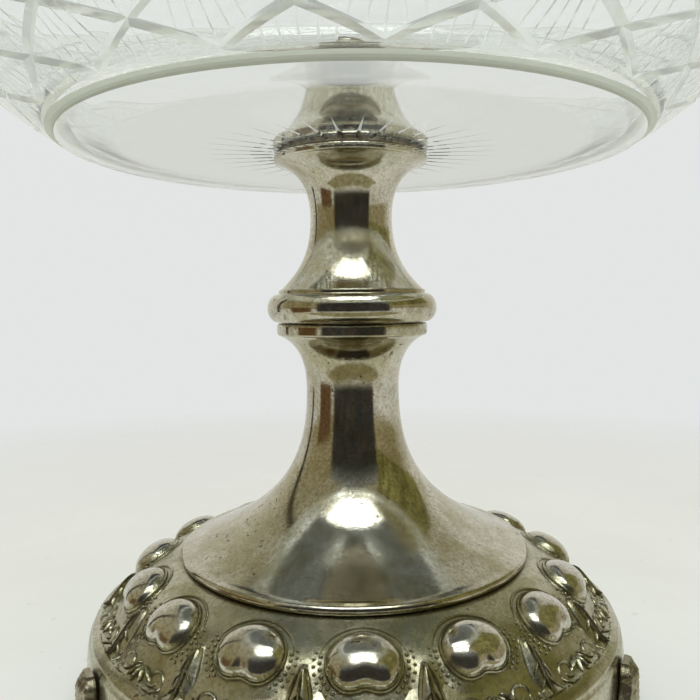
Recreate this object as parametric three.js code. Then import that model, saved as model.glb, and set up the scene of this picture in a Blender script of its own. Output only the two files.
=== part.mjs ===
// Cut glass dish on a silver plated stand, built as the real one comes apart on a bench.
// Millimetres, +Z up, origin on the table under the centre of the stand. The viewer stands at -Y.
import * as THREE from 'three';
import { mergeVertices } from 'three/addons/utils/BufferGeometryUtils.js';

// Tie rod, its nut and the washer that spreads its pull
const rodRadius = 2.5;
const rodClearance = 0.4;
const threadClearance = 0.1;
const rodTail = 2.6;
const nutWall = 2;
const nutHeight = 4;
const clampWasherReach = 12.1;
const clampWasherThickness = 1.6;

// Embossed base, a stamped sheet with a turned-in top
const sheet = 1.2;
const skirtBottom = 8;
const skirtHeight = 17;
const skirtRadius = 76;
const skirtTuck = 0.8;
const skirtEase = 5;
const creaseTuck = 0.7;
const creaseRound = 1.9;
const domeHeight = 17;
const domeLowPull = [0.307, 0.547];
const domeHighPull = [0.668, 0.819];
const seatMargin = 0.8;
const pilotHeight = 0.8;

// Bosses of the base, each an apple shape with a cusp at its lower side
const bossCount = 15;
const bossFromSeat = 9.1;
const bossHalfWidth = 8.1;
const bossHalfLength = 7.1;
const bossHeight = 5.2;
const bossFullness = 0.6;
const bossCusp = 0.24;
const bossCuspAngle = 0.42;
const bossInnerShrink = 1.4;

// Half round wire under the skirt
const wireWidth = 3.4;
const wireHeight = 3;

// Cast leaf feet
const footCount = 3;
const footGap = 0.3;
const footAboveCrease = 2;
const footLeafThickness = 3;
const footToeReach = 3.4;
const footTipThinning = 1.5;
const footTipHalfWidth = 6;
const footTipTaper = 0.35;
const footTipLength = 3;
const footBellyHalfWidth = 10.5;
const footToeHalfWidth = 5.5;
const footRibs = 5;
const footRibDepth = 0.7;
const padAboveEdge = 1.5;
const padBelowCrease = 4;
const padStep = 0.4;
const padShare = 0.7;

// Lower stem, a spun trumpet with a bead at its foot and a collar at its head
const stemWall = 1.2;
const beadRadius = 1.25;
const trumpetRadius = 50.4;
const lowerStemHeight = 66.3;
const lowerNeckRadius = 13.55;
const lowerNeckRise = 47.3;
const flareNeckPull = [0, 0.52];
const flareFootPull = [0.257, 0.766];
const collarNeckPull = [0, 0.523];
const collarEdgePull = [0.333, 0.843];
const collarReach = 4.7;
const collarThickness = 3.7;
const collarRound = 0.5;

// Knop between the stems, with a spigot into each
const knopReach = 2.7;
const knopGroove = 0.4;
const knopHeight = 7.8;
const knopBulge = 3.4;
const knopBulgeAngle = 68;
const knopBandThickness = 1.3;
const knopBandMargin = 0.5;
const webThickness = 3;
const spigotRadius = 17.3;
const spigotLength = 2.2;
const spigotWall = 2;
const socketClearance = 0.15;

// Upper stem and the plate that the dish stands on
const upperStemHeight = 36.2;
const upperNeckRadius = 11.85;
const upperNeckRise = 21;
const mouthWall = 3.6;
const mouthPull = [0.597, 0.238];
const mouthNeckPull = [1, 0.5];
const topNeckPull = [0, 0.493];
const topEdgePull = [0.302, 0.862];
const stemTopRadius = 21.3;
const plateMargin = 0.8;
const plateThickness = 2;
const plateRound = 0.5;
const plateSpigotInset = 7.3;
const plateSpigotLength = 2.4;
const gasketThickness = 0.6;
const lowerGasketInset = 1.5;

// Glass dish
const dishHoleMargin = 1.3;
const dishFloorThickness = 5;
const dishSeatInset = 0.5;
const ringInnerRadius = 79.2;
const ringWidth = 2.2;
const ringRise = 0.6;
const ringStep = 1.4;
const ringCutDepth = 0.45;
const dishRimRadius = 120;
const dishHeight = 49;
const dishWall = 4.6;
const dishFloorInset = 5.2;
const wallFootPull = [0.466, 0.234];
const wallRimPull = [0.87, 0.532];
const insideRimPull = [0.133, 0.477];
const insideFloorPull = [0.589, 0.932];
const rimRound = 1;
const scallopDepth = 1.8;
const scallopFade = 12;

// Mitre cuts that cross on the dish's wall and leave diamonds between them
const dishPleats = 18;
const dishTurn = 2.35;
const mitreStart = 1.8;
const mitreRows = 7;
const mitreMargin = 4.2;
const mitreDepth = 0.8;

// Nut inside the dish and what lies under it
const dishWasherReach = 4;
const dishWasherThickness = 0.8;
const upperGasketMargin = 0.4;
const dishNutSeatMargin = 1;
const capWall = 1.5;
const capCollarHeight = 3;
const capShoulder = 0.5;
const capDomeHeight = 4.2;
const capSidePull = [0.03, 0.52];
const capTipPull = [0.69, 0.62];
const capEndRoom = 0.3;

// How finely round surfaces are cut
const roundSteps = 28;
const smallSteps = 16;
const pleatSteps = 4;
const bossStations = [-1.02, -0.56, 0, 0.56, 1.02];

// Heights, from the table up
const creaseHeight = skirtBottom + skirtHeight;
const footTop = creaseHeight + footAboveCrease;
const seatHeight = creaseHeight + domeHeight;
const discTop = seatHeight + pilotHeight;
const discUnder = discTop - sheet;
const washerBottom = discUnder - clampWasherThickness;
const nutBottom = washerBottom - nutHeight;
const rodBottom = nutBottom - rodTail;
const collarTop = seatHeight + lowerStemHeight;
const collarBottom = collarTop - collarThickness;
const lowerNeckHeight = seatHeight + lowerNeckRise;
const knopBottom = collarTop + knopGroove;
const knopTop = knopBottom + knopHeight;
const knopBandTop = knopTop + knopBandThickness;
const upperNeckHeight = knopBandTop + upperNeckRise;
const stemTop = knopBandTop + upperStemHeight;
const plateTop = stemTop + plateThickness;
const dishSeat = plateTop + gasketThickness;
const dishFloor = dishSeat + dishFloorThickness;
const rimHeight = dishSeat + dishHeight;
const washerSeat = dishFloor + gasketThickness;
const capSeat = washerSeat + dishWasherThickness;
const capNeck = capSeat + capCollarHeight;
const rodTop = capNeck - capEndRoom;

// Radii that follow from what they fit
const rodHole = rodRadius + rodClearance;
const threadHole = rodRadius + threadClearance;
const nutHalfAcross = rodRadius + nutWall;
const clampWasherRadius = rodHole + clampWasherReach;
const seatOuterRadius = trumpetRadius + seatMargin;
const bossRadius = seatOuterRadius + bossFromSeat;
const creaseRadius = skirtRadius - creaseTuck;
const wireMiddle = skirtRadius - skirtTuck - sheet / 2;
const lipRadius = trumpetRadius - beadRadius * 2.4;
const flatShare = Math.cos(Math.PI / roundSteps);
const pilotRadius = lipRadius * flatShare - socketClearance;
const socketRadius = spigotRadius + socketClearance;
const collarRadius = spigotRadius + collarReach;
const knopRadius = collarRadius + knopReach;
const mouthRadius = spigotRadius + mouthWall;
const knopBandRadius = mouthRadius + knopBandMargin;
const plateRadius = stemTopRadius + plateMargin;
const plateSpigotRadius = stemTopRadius - plateSpigotInset;
const dishHoleRadius = rodHole + dishHoleMargin;
const dishSeatRadius = plateRadius - dishSeatInset;
const lowerGasketRadius = plateRadius - lowerGasketInset;
const ringOuterRadius = ringInnerRadius + ringWidth;
const dishFloorRadius = ringInnerRadius - dishFloorInset;
const dishWasherRadius = dishHoleRadius + dishWasherReach;
const upperGasketRadius = dishWasherRadius + upperGasketMargin;
const dishNutSeatRadius = upperGasketRadius + dishNutSeatMargin;
const capRadius = rodRadius + capWall;

// Finishes
function metal(name, color, roughness) {
  const material = new THREE.MeshStandardMaterial({ color, roughness, metalness: 1 });
  material.name = name;
  return material;
}
const plated = metal('silver_plate', 0xb3ac95, 0.28);
const castPlated = metal('cast_plate', 0x9d967c, 0.42);
const steel = metal('steel', 0x8d8c88, 0.45);
const glass = new THREE.MeshStandardMaterial({
  color: 0xe4ebe6,
  roughness: 0.03,
  metalness: 0,
  transparent: true,
  opacity: 0.4,
});
glass.name = 'glass';
const cork = new THREE.MeshStandardMaterial({ color: 0x9a7b52, roughness: 0.9, metalness: 0 });
cork.name = 'cork';

const part = new THREE.Group();
part.name = 'footed_dish';

function add(name, geometry, material) {
  const mesh = new THREE.Mesh(geometry, material);
  mesh.name = name;
  part.add(mesh);
}

// A body turned about Z. The outline is a list of [radius, height] that closes on itself,
// or starts and ends on the axis.
function turned(outline, steps) {
  const points = outline.map(([radius, height]) => new THREE.Vector2(radius, height));
  const onAxis = points[0].x === 0 && points[points.length - 1].x === 0;
  if (!onAxis) {
    points.push(points[0].clone());
  }
  if (THREE.ShapeUtils.area(points) < 0) {
    points.reverse();
  }
  const geometry = new THREE.LatheGeometry(points, steps);
  geometry.rotateX(Math.PI / 2);
  geometry.deleteAttribute('uv');
  geometry.deleteAttribute('normal');
  return mergeVertices(geometry, 1e-5);
}

// A smooth curve between two ends in the radius and height plane. Each pull places a handle on
// the way from start to end, as a share of the radius and a share of the height.
function sweep(start, end, startPull, endPull) {
  const at = ([across, up]) => new THREE.Vector2(
    THREE.MathUtils.lerp(start[0], end[0], across),
    THREE.MathUtils.lerp(start[1], end[1], up),
  );
  return new THREE.CubicBezierCurve(at([0, 0]), at(startPull), at(endPull), at([1, 1]));
}

function pointsOf(curve, steps) {
  return curve.getPoints(steps).map((point) => [point.x, point.y]);
}

// Points on a circular arc in the radius and height plane, angles in degrees
function arc(centre, radius, from, to, steps) {
  const points = [];
  for (let i = 0; i <= steps; i += 1) {
    const angle = THREE.MathUtils.degToRad(from + ((to - from) * i) / steps);
    points.push([centre[0] + radius * Math.cos(angle), centre[1] + radius * Math.sin(angle)]);
  }
  return points;
}

// Direction of an outline at one of its points, as a unit vector
function heading(points, index) {
  const before = points[Math.max(index - 1, 0)];
  const after = points[Math.min(index + 1, points.length - 1)];
  const length = Math.hypot(after[0] - before[0], after[1] - before[1]);
  return [(after[0] - before[0]) / length, (after[1] - before[1]) / length];
}

// The same outline moved sideways by the wall, to the left of its direction
function offset(points, wall) {
  return points.map((point, index) => {
    const [across, up] = heading(points, index);
    return [point[0] - up * wall, point[1] + across * wall];
  });
}

// A point at a turn about Z, counted from the viewer's side
function around(radius, turn, height) {
  return [radius * Math.sin(turn), -radius * Math.cos(turn), height];
}

// A closed body from rings of points, each ring with as many points as the next. The rings close
// on themselves, or the two ends are capped. From the ring crossFrom on, the squares between the
// points are split along one diagonal and the other by turns.
function skin(rings, { capped = false, crossFrom = Infinity } = {}) {
  const count = rings[0].length;
  const positions = rings.flat(2);
  const indices = [];
  const last = capped ? rings.length - 1 : rings.length;
  for (let r = 0; r < last; r += 1) {
    const next = (r + 1) % rings.length;
    for (let i = 0; i < count; i += 1) {
      const j = (i + 1) % count;
      const [a, b, c, d] = [r * count + i, r * count + j, next * count + j, next * count + i];
      if (r >= crossFrom && (r - crossFrom + i) % 2 === 1) {
        indices.push(a, b, d, b, c, d);
      } else {
        indices.push(a, b, c, a, c, d);
      }
    }
  }
  if (capped) {
    for (const end of [0, rings.length - 1]) {
      const centre = positions.length / 3;
      for (let axis = 0; axis < 3; axis += 1) {
        const sum = rings[end].reduce((total, point) => total + point[axis], 0);
        positions.push(sum / count);
      }
      for (let i = 0; i < count; i += 1) {
        const here = end * count + i;
        const beside = end * count + ((i + 1) % count);
        if (end === 0) {
          indices.push(centre, beside, here);
        } else {
          indices.push(centre, here, beside);
        }
      }
    }
  }
  const geometry = new THREE.BufferGeometry();
  geometry.setAttribute('position', new THREE.Float32BufferAttribute(positions, 3));
  geometry.setIndex(indices);
  return geometry;
}

const ease = THREE.MathUtils.smoothstep;

// Base: outline of the sheet's outer side from the skirt's lower edge up to the seat
function baseOutline() {
  const skirt = [
    [skirtRadius - skirtTuck, skirtBottom],
    [skirtRadius, skirtBottom + skirtEase],
    [skirtRadius, creaseHeight - skirtEase],
    [creaseRadius, creaseHeight],
    [creaseRadius - creaseRound * 0.5, creaseHeight + creaseRound * 0.75],
  ];
  const shoulder = [creaseRadius - creaseRound * 1.6, creaseHeight + creaseRound * 1.4];
  const dome = sweep(shoulder, [seatOuterRadius, seatHeight], domeLowPull, domeHighPull);
  return skirt.concat(pointsOf(dome, 9));
}

// How far the sheet stands out at a place beside a boss, both measured along the sheet.
// Down is the side of the skirt, where the boss has its cusp.
function bossRise(along, down, inset) {
  const angle = Math.atan2(along, down);
  const notch = 1 - bossCusp * Math.exp(-((angle / bossCuspAngle) ** 2));
  const far = Math.hypot(along / (bossHalfWidth - inset), down / (bossHalfLength - inset)) / notch;
  if (far >= 1) {
    return 0;
  }
  return bossHeight * (1 - far * far) ** bossFullness;
}

function baseShell() {
  const outer = baseOutline();
  const lengths = [0];
  let bossAt = 0;
  for (let i = 1; i < outer.length; i += 1) {
    const step = Math.hypot(outer[i][0] - outer[i - 1][0], outer[i][1] - outer[i - 1][1]);
    lengths.push(lengths[i - 1] + step);
    if (outer[i - 1][0] > bossRadius && outer[i][0] <= bossRadius) {
      const share = (outer[i - 1][0] - bossRadius) / (outer[i - 1][0] - outer[i][0]);
      bossAt = lengths[i - 1] + share * step;
    }
  }
  const pitch = (2 * Math.PI) / bossCount;
  const places = [];
  for (let boss = 0; boss < bossCount; boss += 1) {
    for (const station of bossStations) {
      const along = station * bossHalfWidth;
      places.push({ along, turn: boss * pitch + along / bossRadius });
    }
  }
  const plain = (radius, height) => places.map(({ turn }) => around(radius, turn, height));
  const embossed = (index, depth) => {
    const [across, up] = heading(outer, index);
    return places.map(({ along, turn }) => {
      const rise = bossRise(along, bossAt - lengths[index], depth * bossInnerShrink) - depth;
      return around(outer[index][0] + up * rise, turn, outer[index][1] - across * rise);
    });
  };
  const rings = outer.map((_, index) => embossed(index, 0));
  rings.push(
    plain(pilotRadius, seatHeight),
    plain(pilotRadius, discTop),
    plain(rodHole, discTop),
    plain(rodHole, discUnder),
    plain(pilotRadius, discUnder),
  );
  for (let index = outer.length - 2; index > 0; index -= 2) {
    rings.push(embossed(index, sheet));
  }
  rings.push(plain(skirtRadius - skirtTuck - sheet, skirtBottom));
  return skin(rings);
}

// Half round wire rolled on under the skirt, its flat side against the skirt's edge
function baseWire() {
  const section = arc([0, 0], 1, 30, -210, 6);
  const top = section[0][1];
  const outline = section.map(([across, up]) => [
    wireMiddle + (across * wireWidth) / 2,
    skirtBottom - (wireHeight * (top - up)) / (top + 1),
  ]);
  return turned(outline, roundSteps);
}

// Foot: one level of a leaf that is ribbed outside and has a pad for the solder inside
function footSection(height, padBottom, padTop) {
  const level = height / footTop;
  const width = footToeHalfWidth
    + (footBellyHalfWidth - footToeHalfWidth) * ease(level, 0.12, 0.55)
    - (footBellyHalfWidth - footTipHalfWidth) * ease(level, 0.6, 1);
  const taper = 1 - footTipTaper * ease(height, footTop - footTipLength, footTop);
  const bare = wireMiddle + wireWidth / 2 + footGap;
  const onPad = height >= padBottom && height <= padTop;
  const pad = onPad ? skirtRadius + footGap : bare;
  const toe = footToeReach * (1 - ease(level, 0, 0.42));
  const outside = bare + footLeafThickness + toe - footTipThinning * ease(level, 0.86, 1);
  const section = [];
  for (let i = 0; i <= footRibs * 2; i += 1) {
    const side = i / footRibs - 1;
    const rib = footRibDepth * 0.5 * Math.cos(side * footRibs * Math.PI) * (1 - Math.abs(side) ** 3);
    const edge = footLeafThickness * 0.55 * side ** 4;
    section.push([side * width, outside + rib - edge]);
  }
  for (let i = footRibs; i >= 0; i -= 1) {
    const side = (i / footRibs) * 2 - 1;
    section.push([side * width * 0.98, Math.abs(side) < padShare ? pad : bare]);
  }
  return section.map(([across, radius]) => {
    const [x, y, z] = around(radius, across / radius, height);
    return [x * taper, y, z];
  });
}

function foot() {
  const padBottom = skirtBottom + padAboveEdge;
  const padTop = creaseHeight - padBelowCrease;
  const levels = [
    0,
    padBottom * 0.32,
    padBottom * 0.68,
    padBottom - padStep,
    padBottom,
    (padBottom + padTop) / 2,
    padTop,
    padTop + padStep,
    footTop - footTipLength,
    footTop - footTipLength / 3,
    footTop,
  ];
  return skin(levels.map((height) => footSection(height, padBottom, padTop)), { capped: true });
}

// Lower stem: outside from the bead up to the collar, then the socket, and inside back down
function lowerStem() {
  const neck = [lowerNeckRadius, lowerNeckHeight];
  const beadMiddle = [trumpetRadius - beadRadius, seatHeight + beadRadius];
  const flareEnd = [trumpetRadius - beadRadius * 1.6, seatHeight + beadRadius * 2];
  const collarStart = [collarRadius - collarRound * 2, collarBottom];
  const flare = pointsOf(sweep(neck, flareEnd, flareNeckPull, flareFootPull), 9).reverse();
  const throat = pointsOf(sweep(neck, collarStart, collarNeckPull, collarEdgePull), 5).slice(1);
  const wall = flare.concat(throat);
  const socketFloor = collarTop - spigotLength - socketClearance;
  const lip = [
    [lipRadius, discTop + socketClearance],
    [lipRadius, seatHeight],
  ];
  const fits = ([radius, height]) => height < socketFloor - stemWall && radius < lipRadius - 1;
  const inside = offset(wall, stemWall).reverse().filter(fits);
  const outline = [
    ...arc(beadMiddle, beadRadius, -90, 75, 5),
    ...wall,
    [collarRadius, collarBottom + collarRound],
    [collarRadius, collarTop - collarRound],
    [collarRadius - collarRound, collarTop],
    [socketRadius, collarTop],
    [socketRadius, socketFloor],
    ...inside,
    ...lip,
  ];
  return turned(outline, roundSteps);
}

// Knop: a turned ring on a web, with a spigot down into the collar and one up into the upper stem
function knop() {
  const middle = (knopBottom + knopTop) / 2;
  const webLow = middle - webThickness / 2;
  const webHigh = middle + webThickness / 2;
  const cup = spigotRadius - spigotWall;
  const groove = collarRadius - knopGroove * 3;
  const reach = Math.sin(THREE.MathUtils.degToRad(knopBulgeAngle));
  const bulge = arc([0, 0], 1, -knopBulgeAngle, knopBulgeAngle, 7).map(([across, up]) => [
    knopRadius - knopBulge * (1 - across),
    middle + ((knopHeight / 2) * up) / reach,
  ]);
  const outline = [
    [rodHole, webLow],
    [cup, webLow],
    [cup, collarTop - spigotLength],
    [spigotRadius, collarTop - spigotLength],
    [spigotRadius, collarTop],
    [groove, collarTop],
    [groove, knopBottom],
    ...bulge,
    [knopBandRadius, knopTop + knopBandThickness * 0.2],
    [knopBandRadius, knopBandTop],
    [spigotRadius, knopBandTop],
    [spigotRadius, knopBandTop + spigotLength],
    [cup, knopBandTop + spigotLength],
    [cup, webHigh],
    [rodHole, webHigh],
  ];
  return turned(outline, roundSteps);
}

// Upper stem: outside from its mouth on the knop up to the top edge, then inside back down
function upperStem() {
  const neck = [upperNeckRadius, upperNeckHeight];
  const mouth = sweep([mouthRadius, knopBandTop], neck, mouthPull, mouthNeckPull);
  const head = sweep(neck, [stemTopRadius, stemTop], topNeckPull, topEdgePull);
  const wall = pointsOf(mouth, 7).concat(pointsOf(head, 6).slice(1));
  const topSocket = plateSpigotRadius + socketClearance;
  const lowFloor = knopBandTop + spigotLength + socketClearance;
  const highFloor = stemTop - plateSpigotLength - socketClearance;
  const fits = ([radius, height]) => height < highFloor && height > lowFloor && radius < socketRadius;
  const inside = offset(wall, stemWall)
    .reverse()
    .filter((point, index) => index % 2 === 0 && fits(point));
  const outline = [
    ...wall,
    [topSocket, stemTop],
    [topSocket, highFloor],
    ...inside,
    [socketRadius, lowFloor],
    [socketRadius, knopBandTop],
  ];
  return turned(outline, roundSteps);
}

// Plate on the upper stem, with a spigot into its top
function dishPlate() {
  const outline = [
    [rodHole, stemTop - plateSpigotLength],
    [plateSpigotRadius, stemTop - plateSpigotLength],
    [plateSpigotRadius, stemTop],
    [plateRadius - plateRound, stemTop],
    [plateRadius, stemTop + plateRound],
    [plateRadius, plateTop - plateRound],
    [plateRadius - plateRound, plateTop],
    [rodHole, plateTop],
  ];
  return turned(outline, roundSteps);
}

// A flat ring, for washers and gaskets
function ring(radius, hole, bottom, thickness) {
  const outline = [
    [hole, bottom],
    [radius, bottom],
    [radius, bottom + thickness],
    [hole, bottom + thickness],
  ];
  return turned(outline, smallSteps);
}

// Dish: underside with a ring cut, wall with crossing mitre cuts up to a scalloped rim, and
// inside back down to the floor
function glassDish() {
  const count = dishPleats * pleatSteps;
  const start = THREE.MathUtils.degToRad(dishTurn);
  const ringIn = [ringInnerRadius, dishSeat + ringRise];
  const ringOut = [ringOuterRadius, ringIn[1] + ringStep];
  const ringLength = Math.hypot(ringWidth, ringStep);
  const ringCut = [
    (ringIn[0] + ringOut[0]) / 2 - (ringCutDepth * ringStep) / ringLength,
    (ringIn[1] + ringOut[1]) / 2 + (ringCutDepth * ringWidth) / ringLength,
  ];
  const ringAt = (radius, height, lower) => {
    const nearRim = ease(height, rimHeight - scallopFade, rimHeight);
    const points = [];
    for (let i = 0; i < count; i += 1) {
      const wave = 0.5 + 0.5 * Math.cos((i / pleatSteps) * 2 * Math.PI);
      const [across, up] = lower(i);
      const turn = start + (i / count) * 2 * Math.PI;
      points.push(around(radius + across, turn, height + up - scallopDepth * nearRim * wave));
    }
    return points;
  };
  const flat = () => [0, 0];
  const belly = (share) => [
    THREE.MathUtils.lerp(dishSeatRadius, ringInnerRadius, share),
    dishSeat + ringRise * share * share,
  ];
  const rings = [[dishHoleRadius, dishSeat], belly(0), belly(0.6), ringIn, ringCut, ringOut]
    .map(([radius, height]) => ringAt(radius, height, flat));
  const mitreFrom = rings.length;
  const outside = sweep(ringOut, [dishRimRadius, rimHeight], wallFootPull, wallRimPull);
  const wallLength = outside.getLength();
  const mitreLength = wallLength - mitreStart - mitreMargin;
  for (let row = 0; row <= mitreRows * 2; row += 1) {
    const along = (mitreStart + (mitreLength * row) / (mitreRows * 2)) / wallLength;
    const point = outside.getPointAt(along);
    const tangent = outside.getTangentAt(along);
    const cut = [-tangent.y * mitreDepth, tangent.x * mitreDepth];
    const onCut = (i) => (i + row) % pleatSteps === 0 || Math.abs(i - row) % pleatSteps === 0;
    const lower = (i) => (onCut(i) ? cut : [0, 0]);
    rings.push(ringAt(point.x, point.y, lower));
  }
  const rimInside = [dishRimRadius - dishWall, rimHeight];
  const inside = sweep(rimInside, [dishFloorRadius, dishFloor], insideRimPull, insideFloorPull);
  // The gasket's seat has an edge of its own, so that the open floor round it is a free face.
  const rest = [
    [dishRimRadius, rimHeight],
    [dishRimRadius - dishWall / 2, rimHeight + rimRound],
    ...pointsOf(inside, 5),
    [dishNutSeatRadius, dishFloor],
    [dishHoleRadius, dishFloor],
  ];
  rings.push(...rest.map(([radius, height]) => ringAt(radius, height, flat)));
  return skin(rings, { crossFrom: mitreFrom });
}

// A six sided nut with a hole, standing on the height given
function hexNut(halfAcross, hole, bottom, height) {
  const corner = halfAcross / Math.cos(Math.PI / 6);
  const shape = new THREE.Shape();
  shape.moveTo(corner, 0);
  for (let i = 1; i < 6; i += 1) {
    const turn = (i * Math.PI) / 3;
    shape.lineTo(corner * Math.cos(turn), corner * Math.sin(turn));
  }
  shape.closePath();
  const bore = new THREE.Path();
  bore.absarc(0, 0, hole, 0, 2 * Math.PI, true);
  shape.holes.push(bore);
  const geometry = new THREE.ExtrudeGeometry(shape, {
    depth: height,
    bevelEnabled: false,
    curveSegments: smallSteps,
  });
  geometry.translate(0, 0, bottom);
  return geometry;
}

// Nut inside the dish: a collar that turns into a pointed dome, blind inside
function capNut() {
  const tip = [0, capNeck + capDomeHeight];
  const dome = sweep([capRadius - capShoulder, capNeck], tip, capSidePull, capTipPull);
  const outline = [
    [0, capNeck],
    [threadHole, capNeck],
    [threadHole, capSeat],
    [capRadius, capSeat],
    [capRadius, capNeck - capShoulder],
    ...pointsOf(dome, 5),
  ];
  return turned(outline, smallSteps);
}

function tieRod() {
  const outline = [
    [0, rodBottom],
    [rodRadius, rodBottom],
    [rodRadius, rodTop],
    [0, rodTop],
  ];
  return turned(outline, smallSteps);
}

add('base_shell', baseShell(), plated);
add('base_wire', baseWire(), plated);
for (const [i, name] of ['foot_back', 'foot_left', 'foot_right'].entries()) {
  const geometry = foot();
  geometry.rotateZ(Math.PI + (i * 2 * Math.PI) / footCount);
  add(name, geometry, castPlated);
}
add('lower_stem', lowerStem(), plated);
add('knop', knop(), plated);
add('upper_stem', upperStem(), plated);
add('dish_plate', dishPlate(), plated);
add('lower_gasket', ring(lowerGasketRadius, dishHoleRadius, plateTop, gasketThickness), cork);
add('glass_dish', glassDish(), glass);
add('upper_gasket', ring(upperGasketRadius, dishHoleRadius, dishFloor, gasketThickness), cork);
add('dish_washer', ring(dishWasherRadius, rodHole, washerSeat, dishWasherThickness), plated);
add('cap_nut', capNut(), plated);
add('tie_rod', tieRod(), steel);
add('clamp_washer', ring(clampWasherRadius, rodHole, washerBottom, clampWasherThickness), steel);
add('base_nut', hexNut(nutHalfAcross, threadHole, nutBottom, nutHeight), steel);

export default part;
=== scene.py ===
"""Looks of a cut glass dish on a silver plated stand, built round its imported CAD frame.

Metres in Blender, +Z up, the viewer at -Y. Sizes below are in millimetres and turned into metres
where a mesh is made. Heights and radii come from the frame's nodes wherever they can.
"""
import math

import bmesh
import bpy
import numpy as np
from mathutils import Matrix, Vector


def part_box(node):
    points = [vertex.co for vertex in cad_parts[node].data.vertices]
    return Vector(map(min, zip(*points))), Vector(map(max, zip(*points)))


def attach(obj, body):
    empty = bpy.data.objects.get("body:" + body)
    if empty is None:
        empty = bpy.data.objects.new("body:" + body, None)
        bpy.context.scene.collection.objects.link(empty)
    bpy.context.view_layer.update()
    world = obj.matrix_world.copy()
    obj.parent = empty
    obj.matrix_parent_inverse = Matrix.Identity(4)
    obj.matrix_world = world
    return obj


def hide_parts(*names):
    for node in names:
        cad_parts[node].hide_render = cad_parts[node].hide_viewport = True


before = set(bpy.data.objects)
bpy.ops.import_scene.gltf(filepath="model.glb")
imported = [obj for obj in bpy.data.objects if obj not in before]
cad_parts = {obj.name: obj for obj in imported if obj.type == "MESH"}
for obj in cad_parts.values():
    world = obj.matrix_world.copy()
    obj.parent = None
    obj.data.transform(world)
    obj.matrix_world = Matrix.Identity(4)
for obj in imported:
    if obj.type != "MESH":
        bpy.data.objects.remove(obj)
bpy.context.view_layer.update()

MM = 0.001
TAU = 2 * math.pi

# Points nearer to each other than this, in metres, are one point
weld = 1e-7


def low(node):
    """Height of a node's lowest point, in mm."""
    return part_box(node)[0].z / MM


def high(node):
    """Height of a node's highest point, in mm."""
    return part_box(node)[1].z / MM


def radii(node):
    """Smallest and largest radius of a node's points, in mm."""
    points = [v.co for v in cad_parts[node].data.vertices]
    found = [math.hypot(p.x, p.y) / MM for p in points]
    return min(found), max(found)


# Heights from the frame
skirt_bottom = low("base_shell")
seat_height = low("lower_stem")
disc_top = high("base_shell")
collar_top = high("lower_stem")
knop_band_top = low("upper_stem")
stem_top = high("upper_stem")
plate_top = high("dish_plate")
dish_seat = low("glass_dish")
rod_bottom = low("tie_rod")
nut_bottom = low("base_nut")
nut_top = high("base_nut")
cap_seat = low("cap_nut")

# Radii from the frame
rod_radius = radii("tie_rod")[1]
rod_hole = radii("base_shell")[0]
thread_hole = radii("base_nut")[0]
skirt_radius = radii("base_shell")[1]
trumpet_radius = radii("lower_stem")[1]
knop_radius = radii("knop")[1]
plate_radius = radii("dish_plate")[1]
dish_hole_radius = radii("glass_dish")[0]
dish_rim_radius = radii("glass_dish")[1] - 0.15

# Sheet of the base and its outline
sheet = 1.2
skirt_height = 17
skirt_tuck = 0.8
skirt_ease = 5
crease_tuck = 0.7
crease_round = 1.9
crease_cut = 0.45
dome_low_pull = (0.307, 0.547)
dome_high_pull = (0.668, 0.819)
seat_margin = 0.8
crease_height = skirt_bottom + skirt_height
crease_radius = skirt_radius - crease_tuck
seat_outer_radius = trumpet_radius + seat_margin

# Bosses of the base
boss_count = 15
boss_from_seat = 10.1
boss_half_width = 8.1
boss_half_length = 7.1
boss_height = 3.5
boss_fullness = 0.46
boss_cusp = 0.24
boss_cusp_angle = 0.42
boss_inner_shrink = 1.4
polished_share = 0.96
boss_radius = seat_outer_radius + boss_from_seat
boss_pitch = TAU * boss_radius / boss_count
base_columns_each = 42
base_rows_outside = 52
base_rows_inside = 16

# Ground round the bosses: a leaf, called a dart, between two, a lobe under each, and hollows.
# Distances go down the dome from the bosses' middles.
dart_tip = 0.8
dart_end = 19.2
dart_half_width = 2.9
dart_fullness = 0.75
dart_arc = 0.62
dart_height = 1.1
ground_step = 1.8
ground_fall = (-1, 14.5)
ground_return = 13
lobe_height = 1.1
lobe_down = 13.5
lobe_size = (4.2, 3)
scoop_depth = 0.5
scoop_place = (3.6, 5)
scoop_size = (1.8, 4)
crease_fade = 1.5
boss_clearing = 0.2
dart_end_fade = 2

# Ridges of the ornament: half width, height and the share of the length in which an end tapers
rim_reach = 1.03
rim_ridge = (0.4, 0.8)
brow_reach = 1.25
brow_half_angle = 1.5
brow_ridge = (0.34, 0.4, 0.25)
scroll_middle = (5.4, 12)
scroll_radii = (3.1, 0.7)
scroll_start = 2.2
scroll_turn = 8.6
scroll_ridge = (0.5, 0.65, 0.12)
dart_edge_gap = 0.6
dart_ridge = (0.36, 0.45, 0.08)
dart_rib = (2.4, 18)
dart_rib_ridge = (0.34, 1.15, 0.15)
vein_starts = (7.0, 10.5, 14.0)
vein_first_share = 0.08
vein_length = 2.6
vein_reach = 0.82
vein_ridge = (0.26, 0.7, 0.3)
palmette_angles = (-52, -26, 0, 26, 52)
palmette_down = 9.4
palmette_start = 1.2
palmette_length = 4.2
palmette_ridge = (0.6, 0.9, 0.3)
ridge_points = 5
ridge_sink = 0.6
ridge_end_size = 0.02
ridge_end_fullness = 0.6

# Beads beside a boss: how far out, their radius and the first one's angle
bead_rows = ((1.19, 0.5, 0.8), (1.35, 0.42, 0.87))
beads_in_row = 7
bead_step = 0.15
edge_beads = 9
edge_bead_radius = 0.4
edge_bead_down = dart_end + 0.3
bead_sides = 7
bead_tilts = (-0.7, 0.1, 0.75, 1.3)

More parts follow.
